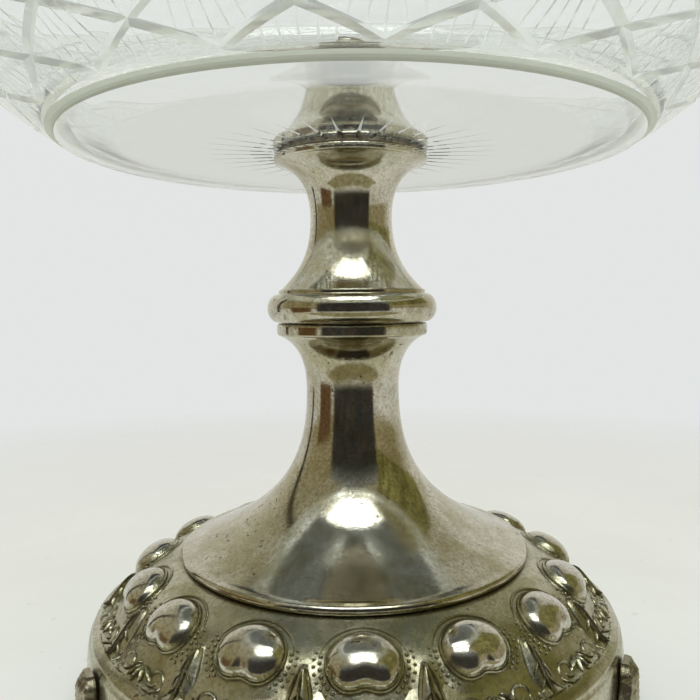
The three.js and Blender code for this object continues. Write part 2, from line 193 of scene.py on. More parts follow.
# Wire and feet, where spans in pairs are shares of a foot's height
wire_width = 3.4
wire_height = 3
wire_middle = skirt_radius - skirt_tuck - sheet / 2
foot_gap = 0.3
foot_leaf = 3
foot_toe_reach = 3.4
foot_tip_thinning = 1.5
foot_tip_half_width = 4.6
foot_tip_taper = 0.35
foot_tip_length = 3
foot_belly_half_width = 10.5
foot_toe_half_width = 5.5
foot_swell = (0.12, 0.55)
foot_narrowing = (0.42, 0.9)
foot_toe_share = 0.42
foot_thinning = (0.86, 1)
foot_closing = (0.93, 1)
foot_closing_share = 0.12
foot_back_share = 0.98
foot_ribs = 5
foot_rib_depth = 0.7
foot_rim_height = 0.35
foot_rim_side = 0.86
foot_rim_width = 0.06
foot_bump = 0.16
foot_bump_waves = ((37, 1.3), (9, 4.1))
foot_low_levels = (0, 0.25, 0.8)
foot_high_levels = (0.7, 0.25, 0)
foot_sides = 61
foot_levels = 76
foot_top = high("foot_back") - 2.6
pad_bottom = skirt_bottom + 1.5
pad_top = crease_height - 0.5
pad_ease = 0.4
foot_edge = 0.6

# Stems
stem_wall = 1.2
bead_radius = 1.25
trumpet_lip_radius = trumpet_radius - bead_radius * 2.4
lower_neck_radius = 13.55
lower_neck_height = seat_height + 47.3
flare_neck_pull = (0, 0.52)
flare_foot_pull = (0.257, 0.766)
collar_neck_pull = (0, 0.523)
collar_edge_pull = (0.333, 0.843)
collar_thickness = 3.7
collar_low_edge = (0.25, 0.3)
collar_high_edge = (0.4, 0.6)
collar_round = 0.8
socket_clearance = 0.15
knop_reach = 2.7
knop_groove = 0.4
knop_bulge = 3.4
knop_bulge_angle = 68
knop_band = 1.3
knop_band_step = 0.5
web_thickness = 3
spigot_length = 2.2
spigot_wall = 2
collar_radius = knop_radius - knop_reach
spigot_radius = collar_radius - 4.7
mouth_radius = spigot_radius + 3.6
upper_neck_radius = 11.85
upper_neck_height = knop_band_top + 21
mouth_pull = (0.597, 0.238)
mouth_neck_pull = (1, 0.5)
top_neck_pull = (0, 0.493)
top_edge_pull = (0.302, 0.862)
stem_top_radius = plate_radius - 0.8
plate_spigot_radius = stem_top_radius - 7.3
plate_spigot_length = stem_top - low("dish_plate")

# Rod and nuts
cap_neck = 3
cap_edge = 0.5
cap_neck_pull = (0.03, 0.52)
cap_tip_pull = (0.69, 0.62)
thread_pitch = 0.8
thread_depth = 0.32
thread_above_nut = 3
thread_runout = 1.5
rod_columns = 48
rod_edge = 0.3
rod_end_hole = 0.001
nut_wall = 2
nut_edge = 0.3
nut_columns = 144
nut_rows = 25
nut_corner_share = 0.9
nut_corner_slope = 1.7

# Glass
dish_pleats = 18
dish_turn = math.radians(2.35)
dish_floor = low("upper_gasket")
ring_inner_radius = 79.2
ring_width = 2.2
ring_rise = 0.6
ring_step = 1.4
ring_cut_depth = 0.45
dish_height = 49
dish_wall = 4.6
dish_floor_radius = ring_inner_radius - 5.2
wall_foot_pull = (0.466, 0.234)
wall_rim_pull = (0.87, 0.532)
inside_rim_pull = (0.133, 0.477)
inside_floor_pull = (0.589, 0.932)
rim_round = 1
rim_points = 11
wall_points = 40
wall_lean = (0.2, 0.9)
scallop_depth = 1.8
scallop_fade = 12
mitre_start = 1.8
mitre_rows = 7
mitre_margin = 4.2
mitre_depth = 0.8
mitre_share = 0.84
mitre_fade = 0.35
flute_depth = 0.16
flute_half_width = 0.018
flute_places = (-0.52, -0.27, 0, 0.27, 0.52)
face_end = 0.8
fan_closing = 1.45
diamond_rows = (-1, -0.72, 0, 0.5, 1)
lowest_rows = (0, 0.35, 0.72, 1)
highest_rows = (-1, -0.72, -0.4, 0)
star_rays = 36
star_rows = 15
star_hidden_rows = 6
star_reach = 43
star_depth = 0.5
star_start = 23
star_half_width = 0.7
star_least_half_width = 0.02
ring_cut_steps = ((0.2, 0.7), (0.45, 1), (0.7, 0.7))
margin_ways = (0, 0.3, 1.0, mitre_start)
floor_rings = (60, 45, 30, 18)
under_rings = (48, 56, 66, 74)
under_edge = 0.3
floor_ring_radius = radii("upper_gasket")[1] + 1
seat_ring_radius = radii("lower_gasket")[1] + 1
ring_outer_radius = ring_inner_radius + ring_width
rim_height = dish_seat + dish_height


# Outlines in the radius and height plane, in mm


def smooth(value, start, end):
    """A share that goes from 0 at the start to 1 at the end, with soft ends."""
    share = np.clip((value - start) / (end - start), 0, 1)
    return share * share * (3 - 2 * share)


def sweep(start, end, start_pull, end_pull, steps):
    """Points of a smooth curve whose handles are shares of the way from start to end."""
    start, end = np.array(start, float), np.array(end, float)
    handles = start + (end - start) * np.array([[0, 0], start_pull, end_pull, [1, 1]], float)
    t = np.linspace(0, 1, steps + 1)[:, None]
    s = 1 - t
    return s**3 * handles[0] + 3 * s * s * t * handles[1] + 3 * s * t * t * handles[2] + t**3 * handles[3]


def arc(centre, radius, start, end, steps):
    """Points of a circular arc, with its angles in degrees."""
    angles = np.radians(np.linspace(start, end, steps + 1))
    return np.array(centre) + radius * np.stack([np.cos(angles), np.sin(angles)], 1)


class Outline:
    """A line in the radius and height plane, measured by the way along it."""

    def __init__(self, line):
        self.line = line
        steps = np.linalg.norm(np.diff(line, axis=0), axis=1)
        self.way = np.concatenate([[0], np.cumsum(steps)])
        slope = np.gradient(line, axis=0)
        slope /= np.linalg.norm(slope, axis=1, keepdims=True)
        self.facing = np.stack([slope[:, 1], -slope[:, 0]], 1)

    def beside(self, way, out):
        """Radius and height of places that stand out from the line."""
        radius, height, outward, upward = (np.interp(way, self.way, values)
                                           for values in (*self.line.T, *self.facing.T))
        return radius + outward * out, height + upward * out


def offset(points, wall):
    """The same outline moved to the left of its direction."""
    return points - wall * Outline(points).facing


def soften(outline, radius, least_angle=25, steps=4):
    """A closed outline with its corners rounded, so that they catch the light."""
    points = [np.array(p, float) for p in outline]
    result = []
    for i, here in enumerate(points):
        back, ahead = points[i - 1] - here, points[(i + 1) % len(points)] - here
        lengths = np.linalg.norm(back), np.linalg.norm(ahead)
        if here[0] <= 0 or min(lengths) < 1e-6:
            result.append(here)
            continue
        turn = math.degrees(math.acos(np.clip(-(back @ ahead) / lengths[0] / lengths[1], -1, 1)))
        if turn < least_angle:
            result.append(here)
            continue
        reach = min(radius, lengths[0] * 0.45, lengths[1] * 0.45)
        first, last = here + back / lengths[0] * reach, here + ahead / lengths[1] * reach
        for t in np.linspace(0, 1, steps + 1):
            result.append((1 - t) ** 2 * first + 2 * t * (1 - t) * here + t * t * last)
    return result


# Meshes


def piece(name, points, faces, materials, sharp=32, slots=None):
    """A mesh object from points in mm, with outward faces and smooth shading up to an angle."""
    mesh = bpy.data.meshes.new(name)
    mesh.from_pydata((np.asarray(points, float) * MM).tolist(), [], [list(f) for f in faces])
    for material in materials:
        mesh.materials.append(material)
    if slots is not None:
        mesh.polygons.foreach_set("material_index", np.asarray(slots, dtype=np.int32))
    work = bmesh.new()
    work.from_mesh(mesh)
    bmesh.ops.remove_doubles(work, verts=work.verts, dist=weld)
    bmesh.ops.dissolve_degenerate(work, edges=work.edges, dist=weld)
    bmesh.ops.recalc_face_normals(work, faces=work.faces)
    work.to_mesh(mesh)
    work.free()
    mesh.shade_smooth()
    mesh.set_sharp_from_angle(angle=math.radians(sharp))
    found = bpy.data.objects.new(name, mesh)
    bpy.context.scene.collection.objects.link(found)
    return found


def grid_faces(rows, columns, close_rows=True, first=0):
    """Squares between rows of points. Each row closes on itself."""
    last = rows if close_rows else rows - 1
    row, column = np.meshgrid(np.arange(last), np.arange(columns), indexing="ij")
    row_next, column_next = (row + 1) % rows, (column + 1) % columns
    corners = [(row, column), (row, column_next), (row_next, column_next), (row_next, column)]
    return first + np.stack([r * columns + c for r, c in corners], -1).reshape(-1, 4)


def around(radius, turn, height):
    """Points at turns about Z, counted from the viewer's side."""
    radius, turn, height = np.broadcast_arrays(radius, turn, height)
    return np.stack([radius * np.sin(turn), -radius * np.cos(turn), height], -1)


def all_turns(steps):
    """Turns all the way round, the first of them 0."""
    return np.arange(steps) * TAU / steps


def rings_at(turns, *spots):
    """Rings of points at pairs of a radius and a height."""
    return [around(radius, turns, height) for radius, height in spots]


def end_faces(rows, columns, first=0):
    """The two faces that close a grid of rings at its ends."""
    return [list(range(start, start + columns)) for start in (first, first + (rows - 1) * columns)]


def turned(name, outline, material, steps=256, soft=0.2):
    """A body turned about Z from a closed outline, or one that starts and ends on the axis."""
    points = np.array(soften(outline, soft))
    rings = around(points[:, :1], all_turns(steps)[None, :], points[:, 1:])
    on_axis = points[0, 0] == 0 and points[-1, 0] == 0
    faces = grid_faces(len(points), steps, close_rows=not on_axis)
    return piece(name, rings.reshape(-1, 3), faces, [material])


def place(found, node):
    """A finished piece rides with the frame and stands for a CAD node."""
    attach(found, "root")
    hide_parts(node)


# Materials


class Shader:
    """The nodes of a material, or of the world, joined up by short calls."""

    def __init__(self, name, kind="Material"):
        self.owner = bpy.data.worlds.new(name) if kind == "World" else bpy.data.materials.new(name)
        self.owner.use_nodes = True
        self.tree = self.owner.node_tree
        self.tree.nodes.clear()
        self.output = self.node("Output" + kind)

    def node(self, kind, inputs=(), **settings):
        found = self.tree.nodes.new("ShaderNode" + kind)
        for key, value in settings.items():
            setattr(found, key, value)
        for key, value in dict(inputs).items():
            self.put(found.inputs[key], value)
        return found

    def put(self, socket, value):
        if isinstance(value, bpy.types.NodeSocket):
            self.tree.links.new(value, socket)
        else:
            socket.default_value = value

    def place(self):
        """Where a point is on its object."""
        return self.node("TexCoord").outputs["Object"]

    def along(self, axis):
        """The place on one axis."""
        return self.node("SeparateXYZ", {"Vector": self.place()}).outputs[axis]

    def noise(self, scale, detail=4, roughness=0.55, distortion=0.0, stretch=None):
        at = self.place()
        if stretch:
            at = self.node("Mapping", {"Vector": at, "Scale": stretch}).outputs["Vector"]
        inputs = {"Vector": at, "Scale": scale, "Detail": detail, "Roughness": roughness,
                  "Distortion": distortion}
        return self.node("TexNoise", inputs).outputs["Fac"]

    def steps(self, value, low_in, high_in, low_out=0.0, high_out=1.0):
        """A value moved from one range to another, and kept inside it."""
        inputs = {"Value": value, "From Min": low_in, "From Max": high_in, "To Min": low_out,
                  "To Max": high_out}
        return self.node("MapRange", inputs).outputs["Result"]

    def math(self, operation, first, second=0.0):
        found = self.node("Math", operation=operation)
        self.put(found.inputs[0], first)
        self.put(found.inputs[1], second)
        return found.outputs[0]

    def mix(self, share, first, second):
        found = self.node("Mix", data_type="RGBA")
        self.put(found.inputs["Factor"], share)
        self.put(found.inputs["A"], first)
        self.put(found.inputs["B"], second)
        return found.outputs["Result"]

    def product(self, first, second):
        """Two values multiplied."""
        return self.math("MULTIPLY", first, second)

    def vector(self, operation, inputs):
        """A vector from one step of vector arithmetic."""
        return self.node("VectorMath", inputs, operation=operation).outputs["Vector"]

    def blend(self, share, first, second):
        """A surface that is one shader and, by a share, another."""
        return self.node("MixShader", {"Fac": share, 1: first, 2: second}).outputs["Shader"]

    def bump(self, height, strength, distance, under=None):
        """A shading normal bent by a height, over another one if given."""
        inputs = {"Height": height, "Strength": strength, "Distance": distance}
        if under:
            inputs["Normal"] = under
        return self.node("Bump", inputs).outputs["Normal"]

    def surface(self, shader):
        """The finished material or world, with this as its surface."""
        self.tree.links.new(shader, self.output.inputs["Surface"])
        return self.owner

    def principled(self, inputs):
        """The finished material, of the common kind of surface."""
        return self.surface(self.node("BsdfPrincipled", inputs).outputs["BSDF"])


def rgb(red, green, blue):
    return (red, green, blue, 1.0)


# How far, in metres, a hollow gathers dirt, and how far a wide one gets painted shade
crud_reach = 0.0014
painted_shade_reach = 0.005


def plated(name, clean, dull, crud, shine, wear=1.0, grain=0.0, pitting=1.0, bright_below=0.0,
           blur=1.0, painted_shade=0.0):
    """Worn silver plate: mottled tarnish, dark crud in recesses, pits, smudges and fine scratches.

    Below a height it may be less tarnished, and wide hollows may be darkened, partly as tarnish and
    partly as painted shade.
    """
    shader = Shader(name)
    cloud = shader.steps(shader.noise(48, 9, 0.72, 0.6), 0.42, 0.6)
    streak = shader.steps(shader.noise(260, 4, 0.6, stretch=(1, 1, 0.25)), 0.45, 0.8, 0, 0.35)
    tarnish = shader.product(shader.math("ADD", cloud, streak), wear)
    tarnish = shader.math("MINIMUM", tarnish, 1.0)
    if bright_below:
        edge = bright_below * MM
        above = shader.steps(shader.along("Z"), edge - 0.001, edge + 0.001, 0.25, 1.0)
        tarnish = shader.product(tarnish, above)
    color = shader.mix(tarnish, clean, dull)
    speckle = shader.steps(shader.noise(1100, 5, 0.8), 0.45, 0.68, 0.0, 0.75)
    color = shader.mix(speckle, color, shader.mix(0.4, crud, dull))
    hollow = shader.node("AmbientOcclusion", {"Distance": crud_reach}, samples=6)
    hidden = shader.steps(hollow.outputs["AO"], 0.35, 0.8, 0.7, 0.0)
    fleck = shader.steps(shader.noise(900, 3, 0.6), 0.3, 0.7, 0.6, 1.0)
    color = shader.mix(shader.product(hidden, fleck), color, crud)
    shade = 0.0
    # Painted shade: wide hollows that an occlusion test finds are darkened towards dull tarnish and made
    # rougher, partly tarnish and partly the shade of what stands beside them
    if painted_shade:
        wide = shader.node("AmbientOcclusion", {"Distance": painted_shade_reach}, samples=4)
        shade = shader.steps(wide.outputs["AO"], 0.45, 0.92, painted_shade, 0.0)
        color = shader.mix(shade, color, shader.mix(0.45, dull, crud))
    pits = shader.steps(shader.noise(620, 2, 0.45), 0.66, 0.69)
    small_pits = shader.steps(shader.noise(1500, 1, 0.4), 0.72, 0.74)
    pit_zone = shader.steps(shader.noise(55, 3, 0.5), 0.5, 0.62)
    pitted = shader.product(shader.math("MAXIMUM", pits, small_pits), pit_zone)
    pitted = shader.product(pitted, pitting)
    color = shader.mix(pitted, color, crud)
    rough = shader.steps(shader.noise(62, 6, 0.7, 1.4), 0.4, 0.7, 0.0, 0.13 * blur)
    rough = shader.math("ADD", rough, shine)
    for part, weight in ((tarnish, 0.06 * blur), (speckle, 0.16 * blur), (shade, 0.2), (pitted, 0.3)):
        rough = shader.math("ADD", rough, shader.product(part, weight))
    fine = shader.bump(shader.noise(2400, 3, 0.65), 0.06, 0.0002)
    scratch = shader.bump(shader.noise(1300, 2, 0.5, stretch=(1, 1, 0.04)), 0.04, 0.0002, fine)
    wobble = shader.bump(shader.noise(30, 2, 0.4), 0.22, 0.0007, scratch)
    dents = shader.bump(pitted, -0.5, 0.0003, wobble)
    if grain:
        dents = shader.bump(shader.noise(900, 4, 0.65), grain, 0.0006, dents)
    return shader.principled({"Base Color": color, "Metallic": 1.0, "Roughness": rough, "Normal": dents})


def steel_metal():
    """Dull steel of the rod and its nut, turned, with a few rust specks."""
    shader = Shader("steel")
    rust = shader.steps(shader.noise(240, 4, 0.6), 0.6, 0.72)
    worn = shader.steps(shader.noise(90, 4), 0.35, 0.7)
    color = shader.mix(worn, rgb(0.42, 0.42, 0.41), rgb(0.3, 0.29, 0.27))
    color = shader.mix(rust, color, rgb(0.16, 0.08, 0.04))
    rough = shader.steps(shader.noise(300, 4), 0.3, 0.7, 0.32, 0.5)
    lines = shader.bump(shader.noise(700, 2, 0.5, stretch=(0.05, 0.05, 1)), 0.2, 0.0003)
    return shader.principled({"Base Color": color, "Metallic": 1.0, "Roughness": rough, "Normal": lines})


def cork_sheet():
    """Pressed cork, with its dark and pale crumbs."""
    shader = Shader("cork")
    cells = shader.node("TexVoronoi", {"Vector": shader.place(), "Scale": 900.0})
    crumb = shader.node("SeparateColor", {"Color": cells.outputs["Color"]}).outputs["Red"]
    color = shader.mix(shader.steps(crumb, 0.1, 0.9), rgb(0.06, 0.045, 0.025), rgb(0.16, 0.115, 0.06))
    gaps = shader.bump(cells.outputs["Distance"], 0.5, 0.0004)
    rough = shader.steps(crumb, 0.0, 1.0, 0.8, 0.95)
    return shader.principled({"Base Color": color, "Roughness": rough, "Normal": gaps})


def clear_glass(name, tint, shine, haze, ground, milky, mirror=0.0):
    """Cut glass that lets the lamps through, with wipe marks. Ground cuts scatter part of the light.

    A mirror above zero makes a flat-on view clear and a glancing one a strong reflection,
    bent a little as by a floor that rises to its middle.
    """
    shader = Shader(name)
    rough = shader.steps(shader.noise(110, 6, 0.7, 1.0), 0.5, 0.8, shine, haze)
    normal = shader.bump(shader.noise(30, 2), 0.05, 0.0004)
    bsdf = shader.node("BsdfPrincipled", {"Base Color": tint, "Roughness": rough, "IOR": 1.52,
                                          "Transmission Weight": 1.0, "Normal": normal})
    milk = shader.node("BsdfDiffuse", {"Color": milky})
    glow = shader.node("BsdfTranslucent", {"Color": milky})
    scattered = shader.blend(0.5, milk.outputs["BSDF"], glow.outputs["BSDF"])
    film = shader.steps(shader.noise(70, 5, 0.65), 0.3, 0.8, ground * 0.8, ground * 1.2)
    body = shader.blend(film, bsdf.outputs["BSDF"], scattered)
    if mirror:
        body = floor_sheen(shader, body, normal, mirror)
    through = shader.node("BsdfTransparent", {"Color": rgb(0.94, 0.96, 0.95)})
    path = shader.node("LightPath")
    lamp = shader.math("MAXIMUM", path.outputs["Is Shadow Ray"], path.outputs["Is Diffuse Ray"])
    return shader.surface(shader.blend(lamp, body, through.outputs["BSDF"]))


# The floor's mirror: its slopes as a shape that rises, and where it bends and fades, in metres
floor_rise = 0.055
floor_bend_rise = 0.16
floor_edge_rise = 0.12
floor_bend_reach = (0.064, 0.071)
floor_mirror_reach = (0.064, 0.0675)
floor_mirror_left = 0.2
floor_haze = 0.05
glancing = (0.35, 0.7)


def floor_sheen(shader, body, normal, mirror):
    """The glass's body with a bent mirror over it that shows at a glancing view."""
    flat = shader.vector("MULTIPLY", {0: shader.place(), 1: (1, 1, 0)})
    outward = shader.vector("NORMALIZE", {0: flat})
    reach = shader.node("VectorMath", {0: flat}, operation="LENGTH").outputs["Value"]
    slope = shader.steps(reach, *floor_bend_reach, -floor_rise, -floor_bend_rise)
    back = shader.steps(reach, floor_bend_reach[1], ring_inner_radius * MM,
                        0.0, floor_bend_rise - floor_edge_rise)
    slope = shader.math("ADD", slope, back)
    bent = shader.vector("ADD", {0: normal, 1: shader.vector("SCALE", {0: outward, "Scale": slope})})
    sheen = shader.node("BsdfGlossy", {"Color": rgb(0.93, 0.95, 0.94), "Roughness": floor_haze,
                                       "Normal": shader.vector("NORMALIZE", {0: bent})})
    glance = shader.node("LayerWeight", {"Blend": 0.5}).outputs["Facing"]
    share = shader.steps(glance, *glancing, 0.0, mirror)
    share = shader.product(share, shader.steps(reach, *floor_mirror_reach, 1.0, floor_mirror_left))
    return shader.blend(share, body, sheen.outputs["BSDF"])


crud = rgb(0.07, 0.052, 0.02)
silver = plated("silver_plate", rgb(0.66, 0.635, 0.54), rgb(0.43, 0.395, 0.26), rgb(0.06, 0.046, 0.02),
                shine=0.035, pitting=0.8, blur=0.55)
# The embossed sheet gets painted shade, partly tarnish, in the wide hollows round its bosses
embossed_silver = plated("embossed_plate", rgb(0.57, 0.55, 0.43), rgb(0.36, 0.345, 0.2), crud,
                         shine=0.12, wear=1.15, grain=0.1, bright_below=crease_height, painted_shade=0.85)
polished_silver = plated("polished_plate", rgb(0.68, 0.665, 0.6), rgb(0.47, 0.44, 0.3), crud,
                         shine=0.05, wear=0.7, pitting=0.8)
cast_silver = plated("cast_plate", rgb(0.5, 0.47, 0.36), rgb(0.33, 0.3, 0.19), rgb(0.05, 0.038, 0.015),
                     shine=0.2, wear=1.3, grain=0.35)
steel = steel_metal()
cork = cork_sheet()
bright_milk = rgb(0.93, 0.95, 0.91)
pale_milk = rgb(0.8, 0.82, 0.77)
green_milk = rgb(0.55, 0.57, 0.47)
glass = clear_glass("cut_glass", rgb(0.965, 0.985, 0.97), 0.0, 0.06, 0.07, bright_milk)
floor_glass = clear_glass("floor_glass", rgb(0.94, 0.965, 0.95), 0.0, 0.03, 0.03, pale_milk, mirror=0.88)
ground_glass = clear_glass("ground_glass", rgb(0.94, 0.97, 0.94), 0.15, 0.35, 0.5, bright_milk)
frosted = clear_glass("frosted_glass", rgb(0.8, 0.84, 0.76), 0.4, 0.5, 0.75, green_milk)


# Base: the embossed sheet


def base_profile():
    """Outline of the sheet's outer side from the skirt's lower edge to the seat."""
    skirt = [
        (skirt_radius - skirt_tuck, skirt_bottom),
        (skirt_radius - skirt_tuck * 0.3, skirt_bottom + skirt_ease * 0.45),
        (skirt_radius, skirt_bottom + skirt_ease),
        (skirt_radius, crease_height - skirt_ease),
        (crease_radius + crease_tuck * 0.55, crease_height - skirt_ease * 0.45),
        (crease_radius, crease_height - crease_cut),
        (crease_radius - crease_cut, crease_height),
        (crease_radius - crease_cut, crease_height + crease_cut),
        (crease_radius - crease_round * 0.45, crease_height + crease_round * 0.75),
    ]
    shoulder = (crease_radius - crease_round * 1.6, crease_height + crease_round * 1.4)
    dome = sweep(shoulder, (seat_outer_radius, seat_height), dome_low_pull, dome_high_pull, 400)
    return np.array(skirt), dome


class Sheet(Outline):
    """The base's outer side, with its places measured down the dome from the bosses' middles."""

    def __init__(self):
        self.skirt, dome = base_profile()
        super().__init__(dome)
        self.bottom = np.interp(-boss_radius, -dome[:, 0], self.way)
        self.top = self.bottom - self.way[-1]

    def at(self, across, down, rise, turn=0.0):
        """Points in space from places on the sheet, how far they stand out, and the boss's turn."""
        radius, height = self.beside(self.bottom - down, rise)
        return around(radius, turn + across / boss_radius, height)


sheet_form = Sheet()


def notch(angle):
    """How much a boss's edge draws in at an angle from straight down, where 1 is not at all."""
    return 1 - boss_cusp * np.exp(-((angle / boss_cusp_angle) ** 2))


def boss_edge(angle, share):
    """Places across and down at an angle from straight down, with the boss's edge at a share of 1."""
    reach = share * notch((angle + math.pi) % TAU - math.pi)
    reach /= np.hypot(np.sin(angle) / boss_half_width, np.cos(angle) / boss_half_length)
    return np.stack([reach * np.sin(angle), reach * np.cos(angle)], -1)


def boss_far(across, down, inset=0.0):
    """How far out a place is from a boss's middle, where 1 is its edge."""
    shape = np.hypot(across / (boss_half_width - inset), down / (boss_half_length - inset))
    return shape / notch(np.arctan2(across, down))


def boss_rise(across, down, inset=0.0):
    """How far a boss stands out of the dome."""
    far = np.minimum(boss_far(across, down, inset), 1)
    return boss_height * (1 - far * far) ** boss_fullness


def dart_width(down):
    """Half width of the leaf between two bosses, from its tip down to the crease."""
    share = np.clip((down - dart_tip) / (dart_end - dart_tip), 0, 1)
    return dart_half_width * np.sin(share**dart_fullness * math.pi * dart_arc)


def hill(across, down, size):
    """A soft rise that is 1 in its middle, with its sizes across and down."""
    return np.exp(-((across / size[0]) ** 2) - (down / size[1]) ** 2)


def ground_rise(across, down):
    """Soft relief of the ground round a boss: a leaf between the bosses and lobes under them."""
    side = boss_pitch / 2 - np.abs(across)
    width = np.maximum(dart_width(down), 1e-3)
    leaf = dart_height * np.maximum(0, 1 - (side / width) ** 2) * (down > dart_tip) * (down < dart_end)
    leaf *= np.clip((dart_end - down) / dart_end_fade, 0, 1)
    clear = np.clip((boss_far(across, down) - 1) / boss_clearing, 0, 1)
    lobe = lobe_height * hill(across, down - lobe_down, lobe_size)
    step = -ground_step * smooth(down, *ground_fall) * (1 - smooth(down, ground_return, dart_end))
    scoop = -scoop_depth * hill(side - scoop_place[0], down - scoop_place[1], scoop_size)
    return leaf + step + clear * (lobe + scoop)


def base_piece():
    """The stamped sheet, embossed on both sides, with its turned-in top and the hole for the rod."""
    columns = boss_count * base_columns_each
    turns = (np.arange(columns) + 0.5) * TAU / columns
    across = ((turns / TAU * boss_count + 0.5) % 1 - 0.5) * boss_pitch
    boss_turns = turns - across / boss_radius
    flat = np.zeros(columns)
    rings = rings_at(turns, *sheet_form.skirt)
    bright = np.zeros((len(rings), columns), bool)
    for down in np.linspace(sheet_form.bottom, sheet_form.top, base_rows_outside):
        bright = np.vstack([bright, boss_far(across, flat + down) < polished_share])
        rise = boss_rise(across, flat + down) + ground_rise(across, flat + down)
        rise *= np.clip((sheet_form.bottom - down) / crease_fade, 0, 1)
        rings.append(sheet_form.at(across, flat + down, rise, boss_turns))
    lip_radius = trumpet_lip_radius - socket_clearance * 3
    rings += rings_at(turns, (lip_radius, seat_height), (lip_radius, disc_top), (rod_hole, disc_top),
                      (rod_hole, disc_top - sheet), (lip_radius, disc_top - sheet))
    for down in np.linspace(sheet_form.top + 1, sheet_form.bottom, base_rows_inside):
        rise = boss_rise(across, flat + down, boss_inner_shrink) - sheet
        rings.append(sheet_form.at(across, flat + down, rise, boss_turns))
    rings += rings_at(turns, (skirt_radius - sheet, crease_height - skirt_ease),
                      (skirt_radius - skirt_tuck - sheet, skirt_bottom))
    bright = np.vstack([bright, np.zeros((len(rings) - len(bright), columns), bool)])
    return np.stack(rings), grid_faces(len(rings), columns), bright


def strip(path, half_width, height, taper=0.0, closed=False):
    """A half round ridge along a path of (across, down), as rows of (across, down, rise)."""
    path = np.asarray(path, float)
    side = -Outline(path).facing
    if closed:
        side = -Outline(np.concatenate([path[-1:], path, path[:1]])).facing[1:-1]
    share = np.linspace(0, 1, len(path))
    size = np.ones(len(path))
    if taper:
        size = np.minimum(share, 1 - share) / taper
        size = np.clip(size, ridge_end_size, 1) ** ridge_end_fullness
    angles = np.linspace(0, math.pi, ridge_points)
    across = np.concatenate([np.cos(angles), [-1, 1]]) * half_width
    rise = np.concatenate([np.sin(angles), [-ridge_sink, -ridge_sink]])
    spots = path[:, None, :] + side[:, None, :] * (across[None, :] * size[:, None])[..., None]
    rises = np.where(rise > 0, rise * height, rise) * np.where(rise > 0, size[:, None], 1)
    return np.concatenate([spots, rises[..., None]], -1), closed


def ornament():
    """Ridges of one boss's share of the base."""
    rim = boss_edge(all_turns(72), rim_reach)
    upper = np.linspace(math.pi - brow_half_angle, math.pi + brow_half_angle, 33)
    brow = np.stack([np.sin(upper) * boss_half_width, np.cos(upper) * boss_half_length], 1) * brow_reach
    ridges = [strip(rim, *rim_ridge, closed=True), strip(brow, *brow_ridge)]
    t = np.linspace(0, 1, 30)
    reach = scroll_radii[0] + (scroll_radii[1] - scroll_radii[0]) * t
    angle = scroll_start - scroll_turn * t
    scroll = np.stack([np.cos(angle), np.sin(angle)], 1) * reach[:, None] + scroll_middle
    ridges += [strip(scroll * (mirror, 1), *scroll_ridge) for mirror in (1, -1)]
    middle = boss_pitch / 2
    downs = np.linspace(dart_tip, dart_end - dart_edge_gap, 22)
    t = np.linspace(vein_first_share, 1, 7)
    for mirror in (1, -1):
        ridges.append(strip(np.stack([middle + mirror * dart_width(downs), downs], 1), *dart_ridge))
        for start in vein_starts:
            down = start + vein_length * t
            across = middle + mirror * dart_width(down) * vein_reach * t
            ridges.append(strip(np.stack([across, down], 1), *vein_ridge))
    ridges.append(strip([(middle, down) for down in np.linspace(*dart_rib, 16)], *dart_rib_ridge))
    reach = palmette_start + palmette_length * np.linspace(0, 1, 9)
    for lean in np.radians(palmette_angles):
        rib = np.stack([reach * np.sin(lean), palmette_down + reach * np.cos(lean)], 1)
        ridges.append(strip(rib, *palmette_ridge))
    return ridges


def beads():
    """Places of the small beads beside a boss: (across, down, radius)."""
    found = []
    for far, size, start in bead_rows:
        for i in range(beads_in_row):
            across, down = boss_edge(start + i * bead_step, far)
            found += [(across, down, size), (-across, down, size)]
    for i in range(edge_beads):
        across = (i - (edge_beads - 1) / 2) * boss_pitch / edge_beads
        found.append((across, edge_bead_down, edge_bead_radius))
    return found


def bead_grid(across, down, radius):
    """A bead as rings of (across, down, rise) that close at its top."""
    turn = all_turns(bead_sides)
    rings = []
    for tilt in bead_tilts:
        size = radius * math.cos(tilt)
        rise = np.full(bead_sides, radius * math.sin(tilt))
        rings.append(np.stack([across + size * np.sin(turn), down + size * np.cos(turn), rise], 1))
    return np.stack(rings)


def embossed_base():
    """The sheet with the ridges and the beads of all its bosses."""
    rings, faces, bright = base_piece()
    points = [rings.reshape(-1, 3)]
    all_faces = faces.tolist()
    bright = bright.reshape(-1)
    slots = [int(all(bright[c] for c in face)) for face in all_faces]
    count = len(points[0])
    shapes = ornament() + [(bead_grid(*bead), False) for bead in beads()]
    for boss in range(boss_count):
        for grid, closed in shapes:
            across, down, rise = grid[..., 0], grid[..., 1], grid[..., 2]
            middle = np.abs((across + boss_pitch / 2) % boss_pitch - boss_pitch / 2)
            fade = np.clip((sheet_form.bottom - down) / crease_fade, 0, 1)
            under = ground_rise(middle, down) * fade
            spots = sheet_form.at(across, down, under + rise, boss * TAU / boss_count)
            rows, columns = spots.shape[:2]
            points.append(spots.reshape(-1, 3))
            all_faces += grid_faces(rows, columns, close_rows=closed, first=count).tolist()
            if not closed:
                all_faces += end_faces(rows, columns, count)
            count += rows * columns
    slots += [0] * (len(all_faces) - len(slots))
    materials = [embossed_silver, polished_silver]
    return piece("embossed_base", np.concatenate(points), all_faces, materials, sharp=50, slots=slots)


place(embossed_base(), "base_shell")


# Base: wire and feet


def wire_piece():
    """The turned wire under the skirt."""
    section = arc((0, 0), 1, 30, -210, 20)
    top = section[0, 1]
    depth = wire_height / (top + 1)
    outline = [(wire_middle + across * wire_width / 2, skirt_bottom - (top - up) * depth)
               for across, up in section]
    return turned("skirt_wire", outline, silver, steps=240)


place(wire_piece(), "base_wire")


